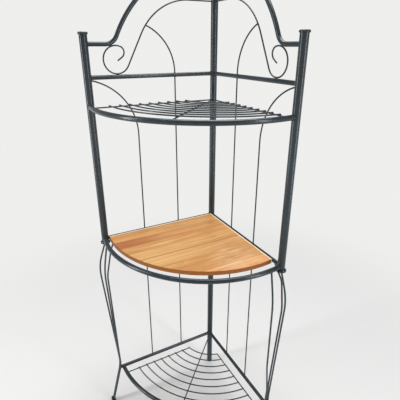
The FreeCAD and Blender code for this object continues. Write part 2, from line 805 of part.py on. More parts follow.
def make_board_screws():
    """Screws up through the bars into the board, head under the bar."""
    body = new_body("board_screws")
    heads = new_sketch(body, "Heads", "XY_Plane")
    shanks = new_sketch(body, "Shanks", "XY_Plane")
    for across, up in screw_places():
        add_circle(heads, "screw_head", across, up)
        add_circle(shanks, "screw_diameter", across, up)
    head = pad(body, heads, "screw_head_height")
    head.Reversed = True
    pad(body, shanks, "bar_thickness + screw_grip")
    bind(body, ".Placement.Base.z", f"{BOARD_BOTTOM} - bar_thickness")
    return keep(body, "board_screws")


# Front legs: three rods each, which spread at the knee and run together down to the foot

BEND_SHARE = 0.45     # the most of a straight run that one bend may take up
KNEE = ("(side_length + knee_out)", KNEE_HEIGHT)
ANKLE = ("(side_length - ankle_in)", "ankle_height")
TOE = ("(side_length + toe_out)", "0")


def leg_point(side, along, across, height):
    """A point by its distances along a side panel and across it, inwards."""
    along, across, height = (number(text) for text in (along, across, height))
    x = SIDE_SIGNS[side] * (along - across) / math.sqrt(2)
    y = -(along + across) / math.sqrt(2)
    return Vector(x, y, height)


def join_point(side, height, inwards, across):
    """Where a rod comes in beside the main rod, above the ankle."""
    along = f"{ANKLE[0]} + {SHIN_SLOPE} * ({height} - ankle_height) - {inwards}"
    return leg_point(side, along, across, height)


def rod_end(side, across):
    """The ankle bend, and an end below the floor of the foot's slot, where the rod is cut off."""
    below_floor = f"{TOE[0]} + {TOE_SLOPE} * leg_foot_floor"
    return [leg_point(side, ANKLE[0], across, ANKLE[1]),
            leg_point(side, below_floor, across, "-leg_foot_floor")]


def rounded_route(points, radii):
    """Straight runs joined by tangent arcs, one at each inner point."""
    edges = []
    start = points[0]
    for before, corner, after, radius in zip(points, points[1:], points[2:], radii):
        back = before - corner
        ahead = after - corner
        half = (math.pi - back.getAngle(ahead)) / 2
        trim = min(radius * math.tan(half), BEND_SHARE * min(back.Length, ahead.Length))
        back.normalize()
        ahead.normalize()
        arc_start = corner + back * trim
        arc_end = corner + ahead * trim
        bisector = (back + ahead).normalize()
        radius = trim / math.tan(half)
        depth = radius / math.cos(half) - radius
        edges.append(Part.LineSegment(start, arc_start).toShape())
        edges.append(Part.Arc(arc_start, corner + bisector * depth, arc_end).toShape())
        start = arc_end
    edges.append(Part.LineSegment(start, points[-1]).toShape())
    return Part.Wire(edges)


def slab(bottom, top):
    """A block wider than the rack, between two heights."""
    reach = number("side_length")
    corner = Vector(-reach, -reach, number(bottom))
    return Part.makeBox(2 * reach, 2 * reach, number(f"{top} - ({bottom})"), corner)


def make_rod(name, points, bends, top_cutter):
    """One bent rod, its top fitted to what it hangs from and its end cut level."""
    route = rounded_route(points, [number(bend) for bend in bends])
    radius = number("rod_diameter") / 2
    section = Part.Wire(Part.makeCircle(radius, points[0], points[1] - points[0]))
    rod = route.makePipeShell([section], True, False)
    rod = rod.cut(top_cutter).cut(slab("-leg_foot_height", "leg_foot_floor"))
    feature = DOC.addObject("Part::Feature", name)
    feature.Shape = rod.Solids[0]
    feature.Placement = FreeCAD.Placement()
    return keep(feature, name)


def make_main_rod(side):
    """The outermost rod, from under the collar down to the foot, by the wall at the ankle."""
    collar_face = f"({COLLAR_BOTTOM} - weld_gap)"
    across = f"-{ROD_PITCH}"
    points = [leg_point(side, "side_length", 0, f"{collar_face} + {ROD_PITCH}"),
              leg_point(side, KNEE[0], across, KNEE[1]),
              *rod_end(side, across)]
    collar = slab(collar_face, f"{COLLAR_BOTTOM} + collar_height")
    make_rod(f"leg_rod_main_{side}", points, ["knee_bend", "ankle_bend"], collar)


def make_side_rod(side):
    """The rod by the wall: from under the side rail, out, and in between the other two."""
    points = [leg_point(side, "side_length - side_rod_place", 0, "middle_rail_height"),
              leg_point(side, "side_length - side_knee_in", "-side_knee_width",
                        "middle_rail_height - side_knee_drop"),
              leg_point(side, "side_length + side_turn_out", "-side_turn_width", "side_turn_height"),
              join_point(side, "side_join_height", "side_join_in", 0),
              *rod_end(side, 0)]
    rail = Part.makeCylinder(number(RAIL_RADIUS), number("2 * side_length"),
                             leg_point(side, 0, 0, "middle_rail_height"), leg_point(side, 1, 0, 0))
    make_rod(f"leg_rod_side_{side}", points,
             ["side_knee_bend", "side_turn_bend", "side_join_bend", "ankle_bend"], rail)


def make_front_rod(side):
    """The rod in front: from under the front tube, out, and in at the open side of the bundle."""
    radius = number(FRONT_RADIUS)
    centre = Vector(0, radius - number(FRONT_REACH), number("middle_rail_height"))
    corner = number(CORNER)
    angle = math.atan2(corner, corner + centre.y) - number("front_rod_place") / radius
    start = centre + Vector(SIDE_SIGNS[side] * math.sin(angle), -math.cos(angle), 0) * radius
    points = [start,
              leg_point(side, "side_length + front_knee_out", "front_knee_width",
                        "middle_rail_height - front_knee_drop"),
              leg_point(side, "side_length + waist_out", "waist_width", "waist_height"),
              join_point(side, "front_join_height", 0, ROD_PITCH),
              *rod_end(side, ROD_PITCH)]
    tube = Part.makeTorus(radius, number(TUBE_RADIUS), centre, UP)
    make_rod(f"leg_rod_front_{side}", points,
             ["front_knee_bend", "waist_bend", "front_join_bend", "ankle_bend"], tube)


def make_legs():
    for side in SIDE_SIGNS:
        make_main_rod(side)
        make_side_rod(side)
        make_front_rod(side)


def make_leg_feet():
    """A moulded foot under each leg, with one slot that the three rods stand in."""
    slot_length = (f"(rod_diameter * sqrt(1 + pow({TOE_SLOPE}; 2))"
                   f" + {TOE_SLOPE} * (leg_foot_height - leg_foot_floor) + 2 * slip_clearance)")
    slot_width = f"(rod_diameter + 2 * {ROD_PITCH} + 2 * slip_clearance)"
    centre = f"side_length + toe_out - {TOE_SLOPE} * (leg_foot_height + leg_foot_floor) / 2"
    for side in SIDE_SIGNS:
        name = f"leg_foot_{side}"
        body = new_body(name)
        outline = new_sketch(body, "Outline", "XY_Plane")
        add_rectangle(outline, f"{slot_length} + 2 * leg_foot_wall", f"{slot_width} + 2 * leg_foot_wall")
        block = pad(body, outline, "leg_foot_height")
        round_edges(body, block, "leg_foot_round", is_upright)
        slot = new_sketch(body, "Slot", "XY_Plane")
        bind(slot, ".AttachmentOffset.Base.z", "leg_foot_floor")
        add_rectangle(slot, slot_length, slot_width)
        cut(body, slot, "leg_foot_height")
        place(body, side, centre, 0, 0)
        keep(body, name)


def check_and_write():
    """Recompute, refuse anything failed or empty, then write one file for each piece."""
    DOC.recompute()
    for thing in DOC.Objects:
        if "Invalid" in thing.State or "Error" in thing.State:
            raise RuntimeError(f"{thing.Label} failed: {thing.State}")
    os.makedirs("parts", exist_ok=True)
    for piece in PIECES:
        if piece.Shape.isNull() or not piece.Shape.isValid():
            raise RuntimeError(f"{piece.Label} has no valid shape")
        piece.Shape.exportStep(f"parts/{piece.Label}.step")
    print(f"{len(PIECES)} pieces written")


make_posts()
make_spigots()
make_caps()
make_collars()
make_rear_foot()
make_side_rails()
make_front_tubes()
make_arch_tubes()
make_scroll_wires()
make_upright_wires()
make_outer_wires()
make_arch_wires()
make_top_shelf()
make_bottom_shelf()
make_board()
make_support_bars()
make_board_screws()
make_legs()
make_leg_feet()
check_and_write()
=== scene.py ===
"""Looks of the corner bakers rack: enamelled steel tube and wire, and a glued-up wood board.

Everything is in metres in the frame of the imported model: the rear post stands on the
origin, +Z is up, and the open, bowed front faces -Y.
"""
import json
import math
import random

import bmesh
import bpy
from mathutils import Matrix, Vector
from mathutils.bvhtree import BVHTree


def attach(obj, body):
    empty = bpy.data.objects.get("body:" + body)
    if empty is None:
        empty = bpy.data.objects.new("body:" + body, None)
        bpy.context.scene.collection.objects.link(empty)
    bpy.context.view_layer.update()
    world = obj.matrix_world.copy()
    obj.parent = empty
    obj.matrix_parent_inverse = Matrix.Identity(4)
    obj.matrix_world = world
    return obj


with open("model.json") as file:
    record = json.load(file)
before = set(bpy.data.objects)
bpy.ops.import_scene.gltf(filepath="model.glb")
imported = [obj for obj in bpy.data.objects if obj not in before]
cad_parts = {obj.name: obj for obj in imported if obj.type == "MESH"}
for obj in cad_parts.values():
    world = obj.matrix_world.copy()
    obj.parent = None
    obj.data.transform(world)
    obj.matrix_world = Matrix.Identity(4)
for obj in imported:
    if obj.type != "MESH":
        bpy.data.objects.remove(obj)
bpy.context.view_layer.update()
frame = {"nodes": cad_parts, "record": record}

NODES = frame["nodes"]
RIGHT = Vector((1, 0, 0))
REAR = Vector((0, 1, 0))
UP = Vector((0, 0, 1))
STEEP = 0.9                                           # upward share at which a direction counts as upright

# Plan of the rack
SIDE_LENGTH = 0.460
CORNER = SIDE_LENGTH / math.sqrt(2)
FRONT_BOW = 0.1722
FRONT_RADIUS = (CORNER ** 2 + FRONT_BOW ** 2) / (2 * FRONT_BOW)
FRONT_CENTRE = FRONT_RADIUS - CORNER - FRONT_BOW      # of the front tubes' circle, along Y
FRONT_REACH = CORNER + FRONT_BOW
FRONT_HALF_ANGLE = math.atan2(CORNER, FRONT_RADIUS - FRONT_BOW)
HANDS = {"right": 1, "left": -1}
OUTWARD = {side: Vector((hand, -1, 0)).normalized() for side, hand in HANDS.items()}
INWARD = {side: Vector((-hand, -1, 0)).normalized() for side, hand in HANDS.items()}

# Stock
RAIL_RADIUS = 0.007
FRONT_TUBE_RADIUS = 0.008
WIRE_RADIUS = 0.0024
ROD_RADIUS = 0.003175
BAR_HALF_WIDTH = 0.010

# Heights
BOTTOM_RAIL = 0.180
MIDDLE_RAIL = 0.828
TOP_SHELF = 1.313
OUTER_WIRE_TOP = 1.3915
TOP_RAIL = 1.401
ARCH_FOOT = 1.4995
ARCH_PEAK = 1.750
SCROLL_END = 1.636
COLLAR_FACE = 0.811
TOP_RIBS = 1.307
BOTTOM_RIBS = BOTTOM_RAIL - FRONT_TUBE_RADIUS - WIRE_RADIUS

# Places along the side panels, or in from them
INNER_WIRE = 0.1576
OUTER_WIRE = 0.303
TOP_RIB_INSET = 0.00485
BOTTOM_RIB_INSET = 0.034
BOTTOM_RAIL_END = 0.4534

# Distances from the rear post: radii of what is bent about it, and how far forward the bars lie
BOTTOM_HOOP = 0.4414                                  # the bottom front tube
BAR_PLACES = (0.130, 0.250)
ARC_PITCH = 0.035
TOP_ARCS = [0.120 + ARC_PITCH * number for number in range(9)]
BOTTOM_ARCS = [0.138 + ARC_PITCH * number for number in range(8)]

# Tops of the leg rods and the bends below them: along the panel, in from it, height
MAIN_ROD = ((SIDE_LENGTH, 0, COLLAR_FACE), (SIDE_LENGTH + 0.0337, -0.0064, 0.7143))
SIDE_ROD = ((SIDE_LENGTH - 0.0375, 0, MIDDLE_RAIL), (SIDE_LENGTH - 0.0208, -0.0284, 0.7474))
FRONT_KNEE = (SIDE_LENGTH + 0.0259, 0.0433, 0.7133)
FRONT_ROD_TOP = 0.0452                                # in from the post, along the front tube
ROD_JOIN = (SIDE_LENGTH - 0.0015, 0.0032, 0.272)

# Where the scroll's curl touches the top rail and the bend of the arch
CURL_FOOT = (0.3617, 0, TOP_RAIL + RAIL_RADIUS)
CURL_TOP = (0.3771, 0, 1.4954)
CURL_TOP_SLOPE = (0.939, 0, -0.342)

# Weld beads: radius of the bead, and length of the short straight ones
RAIL_BEAD = 0.0016
WIRE_BEAD = 0.0010
RIB_BEAD = WIRE_BEAD * 0.6
ROD_BEAD = WIRE_BEAD * 1.3
CURL_BEAD = WIRE_BEAD * 1.5
JOIN_BEAD = WIRE_BEAD * 1.6
RAIL_END_BEAD = RAIL_BEAD * 1.5
RIB_TACK = 0.003                                      # a side rib and an arc
ARC_TACK = 0.005                                      # the centre rib and an arc
TUBE_TACK = 0.006                                     # the centre rib and the top front tube
HOOP_TACK = 0.008                                     # a rib and the bottom front tube
CURL_TACK = 0.009
BAR_TACK = 0.010
RAIL_END_TACK = 0.013
JOIN_TACK = 0.016
RAIL_END_LIFT = RAIL_RADIUS * 0.6                     # of its bead, over the rail's middle
HOOP_BEAD_INSET = 0.0004                              # within the radius of the rail it meets

# Board: staves lie along the left straight edge and are numbered from it
BOARD_TOP = 0.837
BOARD_SIDE_GAP = 0.009
FIRST_SEAM = 0.023                                    # where stave 0 starts
STAVE_WIDTH = 0.051
RED_STAVE = 1
OPEN_SEAM = 4                                         # where this stave starts
TIP_STAVE = 7                                         # from this one on they are paler
SEAM_LINE = (0.0002, 0.0009)                          # half widths: full strength, faded out
OPEN_LINE = (0.0006, 0.0017)
EDGE_HIGHLIGHT_BAND = (0.0035, 0.0060)                        # widths of the painted highlight along the straight edges: full strength, faded out
STAVE_SEED = 7.3
STAVE_SHIFT = (3.0, 7.0, 5.0)                         # how far a stave's grain is moved at most

# Growth rings, about a heart under the board
RING_PITCH = 0.0052
RING_SHARPNESS = 2.2
RING_WANDER = 0.022
HEART_SPREAD = 1.6                                    # of its places, in widths of a stave
HEART_DEPTH = 0.062                                   # under the board's top
HEART_SLOPE = 0.055                                   # rise away from the right straight edge

# Marks on the board, and a painted sheen
# centre of a painted sheen, a pale pool on the board
PAINTED_SHEEN = (0.17, -0.33, BOARD_TOP)                # X, Y, Z
PAINTED_SHEEN_RADIUS = 0.13
DARK_MARK = (0.0884, -0.0556, BOARD_TOP)              # across the staves, along them, height
DARK_MARK_HALF_WIDTH = 0.00385
DARK_MARK_HALF_LENGTH = 0.0217

# Studio: the camera stands to the right of the middle, above the shelf, and looks down
CAMERA_SPOT = (0.3686, -1.3932, 1.4956)
CAMERA_TURN = 0.2931
CAMERA_TILT = 0.3963
CAMERA_ROLL = 0.0014
SENSOR = 36.0
FOCAL_PIXELS = 369.06
IMAGE_PIXELS = 400
LAMPS = {                                             # place, width, height, power
    "key": ((-1.9, -1.5, 1.5), 0.35, 2.6, 28),
    "fill": ((2.1, -1.1, 1.4), 0.25, 2.5, 18),
    "top": ((0.1, 0.2, 3.0), 1.6, 1.6, 44),
}
LAMP_AIM = (0, -0.2, 0.95)
FLOOR_REACH = 60.0
FLOOR_FADE = (0.5, 1.9)                               # distances at which it starts and ends
FLOOR_COLOUR = (0.80, 0.80, 0.79, 1.0)
BACKDROP = (0.86, 0.86, 0.85, 1.0)
DAYLIGHT = (0.97, 0.98, 1.0, 1.0)
DAYLIGHT_STRENGTH = 0.45

RANDOM = random.Random(11)


# Materials

class Graph:
    """A material's nodes, added and linked one call at a time."""

    def __init__(self, name):
        self.material = bpy.data.materials.new(name)
        self.material.use_nodes = True
        self.tree = self.material.node_tree
        self.tree.nodes.clear()

    def add(self, kind, inputs=None, **settings):
        """A node with its inputs set or linked, by name or by number."""
        node = self.tree.nodes.new("ShaderNode" + kind)
        for key, value in settings.items():
            setattr(node, key, value)
        for key, value in (inputs or {}).items():
            if isinstance(value, bpy.types.NodeSocket):
                self.tree.links.new(value, node.inputs[key])
            else:
                node.inputs[key].default_value = value
        return node

    def maths(self, operation, first, second=0.0):
        """One or two numbers worked into one."""
        return self.add("Math", {0: first, 1: second}, operation=operation).outputs[0]

    def vectors(self, operation, first, second):
        """Two vectors worked into one, axis by axis."""
        return self.add("VectorMath", {0: first, 1: second}, operation=operation).outputs[0]

    def length(self, vector):
        """How long a vector is."""
        return self.add("VectorMath", {0: vector}, operation="LENGTH").outputs["Value"]

    def between(self, value, low, high, start=0.0, end=1.0, smooth=False):
        """The value's way from low to high, as a number from start to end."""
        node = self.add("MapRange", {"Value": value, "From Min": low, "From Max": high,
                                     "To Min": start, "To Max": end})
        node.interpolation_type = "SMOOTHSTEP" if smooth else "LINEAR"
        return node.outputs["Result"]

    def blend(self, share, first, second):
        """A share of the second colour over the first."""
        return self.add("Mix", {0: share, 6: first, 7: second}, data_type="RGBA").outputs[2]

    def noise(self, vector, scale, detail, roughness, distortion=0.0):
        """Cloudy noise, mostly from 0.3 to 0.7."""
        node = self.add("TexNoise", {"Vector": vector, "Scale": scale, "Detail": detail,
                                     "Roughness": roughness, "Distortion": distortion})
        return node.outputs["Fac"]

    def bump(self, height, strength, distance, below=None):
        """Relief, on top of what lies below it."""
        inputs = {"Height": height, "Strength": strength, "Distance": distance}
        if below:
            inputs["Normal"] = below
        return self.add("Bump", inputs).outputs["Normal"]

    def finish(self, **inputs):
        """Close the material with one Principled shader; its sockets are named with _ for a space."""
        named = {key.replace("_", " "): value for key, value in inputs.items()}
        shader = self.add("BsdfPrincipled", named)
        self.add("OutputMaterial", {"Surface": shader.outputs[0]})
        return self.material


def colour(red, green, blue):
    """A colour as it shows on a screen, 0 to 255, turned into a shader's numbers."""
    def linear(value):
        share = value / 255
        return share / 12.92 if share <= 0.04045 else ((share + 0.055) / 1.055) ** 2.4
    return (linear(red), linear(green), linear(blue), 1.0)


def paint_material():
    """Dark green-grey satin enamel: cloudy tone, soft sags, faint orange peel and dull rubs."""
    graph = Graph("green_grey_enamel")
    place = graph.add("TexCoord").outputs["Object"]
    cloud = graph.noise(place, 7.0, 3.0, 0.55)
    drift = graph.noise(graph.vectors("MULTIPLY", place, (60.0, 60.0, 5.0)), 1.0, 3.0, 0.55)
    rub = graph.noise(place, 45.0, 4.0, 0.65, 0.6)
    speck = graph.noise(place, 500.0, 2.0, 0.6)
    tone = graph.blend(graph.between(cloud, 0.3, 0.7), colour(25, 37, 42), colour(38, 52, 59))
    tone = graph.blend(graph.between(drift, 0.50, 0.72, 0.0, 0.45, smooth=True), tone, colour(54, 70, 78))
    tone = graph.blend(graph.between(speck, 0.66, 0.8, 0.0, 0.06), tone, colour(76, 90, 88))
    worn = graph.between(rub, 0.64, 0.78, 0.0, 0.16, smooth=True)
    tone = graph.blend(worn, tone, colour(56, 70, 69))
    gloss = graph.between(cloud, 0.3, 0.7, 0.22, 0.29)
    gloss = graph.maths("ADD", gloss, graph.maths("MULTIPLY", worn, 0.10))
    peel = graph.noise(place, 620.0, 2.0, 0.5)
    sag = graph.noise(place, 110.0, 1.0, 0.5)
    normal = graph.bump(sag, 0.05, 0.0005)
    normal = graph.bump(peel, 0.03, 0.0001, normal)
    return graph.finish(Base_Color=tone, Roughness=gloss, Normal=normal, Specular_IOR_Level=0.45,
                        Coat_Weight=0.18, Coat_Roughness=0.17)


def plastic_material():
    """Moulded end pieces in the frame's colour, finely grained."""
    graph = Graph("moulded_plastic")
    place = graph.add("TexCoord").outputs["Object"]
    grain = graph.noise(place, 1500.0, 2.0, 0.6)
    cloud = graph.noise(place, 40.0, 2.0, 0.5)
    tone = graph.blend(graph.between(cloud, 0.3, 0.7), colour(30, 40, 39), colour(40, 51, 49))
    scuff = graph.between(graph.noise(place, 300.0, 4.0, 0.75, 1.0), 0.62, 0.75, 0.0, 0.3, smooth=True)
    tone = graph.blend(scuff, tone, colour(78, 86, 83))
    gloss = graph.between(grain, 0.3, 0.7, 0.38, 0.5)
    normal = graph.bump(grain, 0.25, 0.0001)
    return graph.finish(Base_Color=tone, Roughness=gloss, Normal=normal, Specular_IOR_Level=0.45)


ZINC_TONES = ((0.62, 0.62, 0.60, 1.0), (0.50, 0.50, 0.47, 1.0))
STEEL_TONES = ((0.46, 0.46, 0.47, 1.0), (0.33, 0.33, 0.34, 1.0))


def steel_material(name, light, dark):
    """Plated or drawn steel with fine scratches and dull spots."""
    graph = Graph(name)
    place = graph.add("TexCoord").outputs["Object"]
    scratch = graph.noise(graph.vectors("MULTIPLY", place, (900.0, 900.0, 60.0)), 1.0, 3.0, 0.6)
    spot = graph.noise(place, 350.0, 3.0, 0.6)
    tone = graph.blend(graph.between(spot, 0.35, 0.7), light, dark)
    gloss = graph.between(scratch, 0.3, 0.7, 0.24, 0.46)
    normal = graph.bump(scratch, 0.15, 0.0001)
    return graph.finish(Base_Color=tone, Roughness=gloss, Normal=normal, Metallic=1.0)


class BoardGraph(Graph):
    """A graph that also tells which stave of the board a spot lies in, and where."""

    def __init__(self, name):
        super().__init__(name)
        self.place = self.add("TexCoord").outputs["Object"]
        turn = self.add("Mapping", {"Vector": self.place, "Rotation": (0, 0, math.radians(45))})
        self.turned = turn.outputs[0]
        self.across, self.along, self.up = self.add("SeparateXYZ", {0: self.turned}).outputs
        staves = self.maths("DIVIDE", self.maths("SUBTRACT", self.across, FIRST_SEAM), STAVE_WIDTH)
        self.index = self.maths("FLOOR", staves)
        self.within = self.maths("SUBTRACT", staves, self.index)
        seed = self.maths("ADD", self.index, STAVE_SEED)
        chance = self.add("TexWhiteNoise", {"W": seed}, noise_dimensions="1D").outputs
        self.chance = chance["Value"]
        shift = self.vectors("MULTIPLY", chance["Color"], STAVE_SHIFT)
        self.local = self.vectors("ADD", self.turned, shift)

    def grain(self, across, along, detail, roughness, distortion=0.0):
        """Noise drawn out along the staves and shifted in each: its scales across and along them."""
        drawn_out = self.vectors("MULTIPLY", self.local, (across, along, across))
        return self.noise(drawn_out, 1.0, detail, roughness, distortion)


def growth_rings(graph):
    """Rings about a heart that lies under the board and slopes along it; each darkens outwards."""
    heart = graph.maths("MULTIPLY", graph.maths("SUBTRACT", graph.chance, 0.5), HEART_SPREAD)
    aside = graph.maths("SUBTRACT", graph.maths("SUBTRACT", graph.within, 0.5), heart)
    aside = graph.maths("MULTIPLY", aside, STAVE_WIDTH)
    wander = graph.maths("SUBTRACT", graph.grain(26.0, 3.0, 3.0, 0.55), 0.5)
    aside = graph.maths("ADD", aside, graph.maths("MULTIPLY", wander, RING_WANDER))
    sloping = graph.maths("ADD", graph.up, graph.maths("MULTIPLY", graph.along, HEART_SLOPE))
    depth = graph.maths("SUBTRACT", sloping, BOARD_TOP - HEART_DEPTH)
    squares = graph.maths("ADD", graph.maths("MULTIPLY", aside, aside), graph.maths("MULTIPLY", depth, depth))
    phase = graph.maths("FRACT", graph.maths("DIVIDE", graph.maths("SQRT", squares), RING_PITCH))
    return graph.maths("POWER", phase, RING_SHARPNESS)


def stave_figure(graph, ring, fibre, pore):
    """Tone of the staves, paler at the tip, under figure, rings, streaks, fibres and pores."""
    at_tip = graph.maths("GREATER_THAN", graph.index, TIP_STAVE - 0.5)
    stave_tone = graph.blend(at_tip, colour(204, 156, 90), colour(238, 180, 122))
    figure = graph.grain(62.0, 4.5, 4.0, 0.6, 0.8)
    broad = graph.grain(110.0, 2.6, 2.0, 0.5, 0.4)
    streak = graph.grain(300.0, 9.0, 3.0, 0.6)
    tone = graph.blend(graph.between(figure, 0.38, 0.66, 0.0, 0.70), stave_tone, colour(212, 136, 70))
    tone = graph.blend(graph.between(figure, 0.30, 0.47, 0.55, 0.0), tone, colour(250, 210, 148))
    tone = graph.blend(graph.between(broad, 0.50, 0.64, 0.0, 0.58, smooth=True), tone, colour(190, 112, 54))
    tone = graph.blend(graph.between(broad, 0.34, 0.46, 0.40, 0.0, smooth=True), tone, colour(250, 204, 140))
    tone = graph.blend(graph.maths("MULTIPLY", ring, 0.24), tone, colour(176, 104, 50))
    tone = graph.blend(graph.between(streak, 0.45, 0.70, 0.0, 0.58), tone, colour(182, 108, 54))
    tone = graph.blend(graph.between(fibre, 0.40, 0.75, 0.0, 0.20), tone, colour(160, 92, 44))
    tone = graph.blend(graph.maths("MULTIPLY", pore, 0.35), tone, colour(112, 64, 34))
    return graph.blend(0.15, tone, stave_tone)


def stave_marks_and_sheen(graph, tone):
    """What sets single staves and places of the board apart, and a painted sheen towards the right-hand
    front.
    """
    # one stave reddens towards the left-hand tip
    red_end = graph.between(graph.along, -0.20, -0.42, 0.10, 0.85, smooth=True)
    red_end = graph.maths("MULTIPLY", red_end, graph.maths("COMPARE", graph.index, RED_STAVE))
    tone = graph.blend(red_end, tone, colour(170, 98, 50))

    # the two staves on either side of the open glue line pale towards the front
    from_seam = graph.maths("ABSOLUTE", graph.maths("SUBTRACT", graph.index, OPEN_SEAM - 0.5))
    paler = graph.between(graph.along, -0.05, -0.35, 0.04, 0.24)
    paler = graph.maths("MULTIPLY", graph.maths("LESS_THAN", from_seam, 1.0), paler)
    tone = graph.blend(paler, tone, colour(255, 216, 150))

    # a short dark mark near the rear corner
    apart = graph.vectors("SUBTRACT", graph.turned, DARK_MARK)
    scales = (1 / DARK_MARK_HALF_WIDTH, 1 / DARK_MARK_HALF_LENGTH, 0.0)
    apart = graph.length(graph.vectors("MULTIPLY", apart, scales))
    tone = graph.blend(graph.between(apart, 0.3, 1.0, 0.8, 0.0, smooth=True), tone, colour(120, 92, 72))

    # a painted sheen towards the right-hand front: a pale pool broken up by a wild grain
    apart = graph.length(graph.vectors("SUBTRACT", graph.place, PAINTED_SHEEN))
    pale = graph.between(apart, 0.0, PAINTED_SHEEN_RADIUS, 0.50, 0.0, smooth=True)
    wild = graph.between(graph.grain(70.0, 14.0, 3.0, 0.5, 0.8), 0.35, 0.70)
    return graph.blend(graph.maths("MULTIPLY", pale, wild), tone, colour(250, 222, 180))


def glue_lines(graph):
    """How strongly a glue line shows: faintly at each seam, and wider and darker at the open one."""
    nearest = graph.maths("MINIMUM", graph.within, graph.maths("SUBTRACT", 1.0, graph.within))
    seam = graph.between(graph.maths("MULTIPLY", nearest, STAVE_WIDTH), *SEAM_LINE, 0.38, 0.0)
    open_seam = FIRST_SEAM + OPEN_SEAM * STAVE_WIDTH
    apart = graph.maths("ABSOLUTE", graph.maths("SUBTRACT", graph.across, open_seam))
    return graph.maths("MAXIMUM", seam, graph.between(apart, *OPEN_LINE, 0.95, 0.0))


def board_edges(graph, tone):
    """The upright faces are darker, partly from the finish they drink and partly as painted shade, and a band
    along both straight edges carries a painted highlight.
    """
    facing = graph.add("SeparateXYZ", {0: graph.add("TexCoord").outputs["Normal"]}).outputs["Z"]
    # upright faces are darkened, partly for the finish the end grain drinks and partly as painted shade
    upright_shade_and_finish = graph.between(graph.maths("ABSOLUTE", facing), 0.25, 0.85, 1.0, 0.0, smooth=True)
    tone = graph.blend(graph.maths("MULTIPLY", upright_shade_and_finish, 0.92), tone, colour(172, 96, 4))
    inset = graph.maths("MINIMUM", graph.across, graph.maths("MULTIPLY", graph.along, -1.0))
    full, faded = (BOARD_SIDE_GAP + width for width in EDGE_HIGHLIGHT_BAND)
    # the pale band along both straight edges is a painted highlight
    return graph.blend(graph.between(inset, full, faded, 0.92, 0.0), tone, colour(255, 238, 204))


def wood_material():
    """Pale hardwood staves under satin lacquer: ring figure, streaks, pores and glue lines."""
    graph = BoardGraph("glued_staves")
    ring = growth_rings(graph)
    fibre = graph.grain(1700.0, 34.0, 2.0, 0.6)
    pore = graph.between(graph.grain(2600.0, 110.0, 2.0, 0.5), 0.64, 0.72)
    line = glue_lines(graph)
    tone = stave_marks_and_sheen(graph, stave_figure(graph, ring, fibre, pore))
    tone = graph.blend(line, tone, colour(116, 62, 24))
    tone = board_edges(graph, tone)
    gloss = graph.between(fibre, 0.3, 0.7, 0.34, 0.46)
    gloss = graph.maths("ADD", gloss, graph.maths("MULTIPLY", ring, 0.05))
    relief = graph.maths("ADD", graph.maths("MULTIPLY", fibre, 0.5), graph.maths("MULTIPLY", pore, -0.8))
    normal = graph.bump(relief, 0.22, 0.0002)
    normal = graph.bump(graph.maths("SUBTRACT", 1.0, line), 0.3, 0.0003, normal)
    return graph.finish(Base_Color=tone, Roughness=gloss, Normal=normal, Specular_IOR_Level=0.38,
                        Coat_Weight=0.10, Coat_Roughness=0.25)


def dress(materials):
    """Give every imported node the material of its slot."""
    slots = {part["node"]: part["material_slot"] for part in frame["record"]["subparts"]}
    for name, node in NODES.items():
        for slot in node.material_slots:
            slot.material = materials[slots[name]]


# Weld beads

def as_tree(name):
    """A node's surface, for rays to be cast on."""
    mesh = NODES[name].data
    return BVHTree.FromPolygons([vertex.co for vertex in mesh.vertices],
                                [face.vertices for face in mesh.polygons])


def spokes(ahead, count):
    """Directions all the way round another one and square to it."""
    aside = ahead.cross(UP) if abs(ahead.z) < STEEP else ahead.cross(RIGHT)
    aside.normalize()
    over = ahead.cross(aside).normalized()
    for number in range(count):
        angle = math.tau * number / count
        yield aside * math.cos(angle) + over * math.sin(angle)


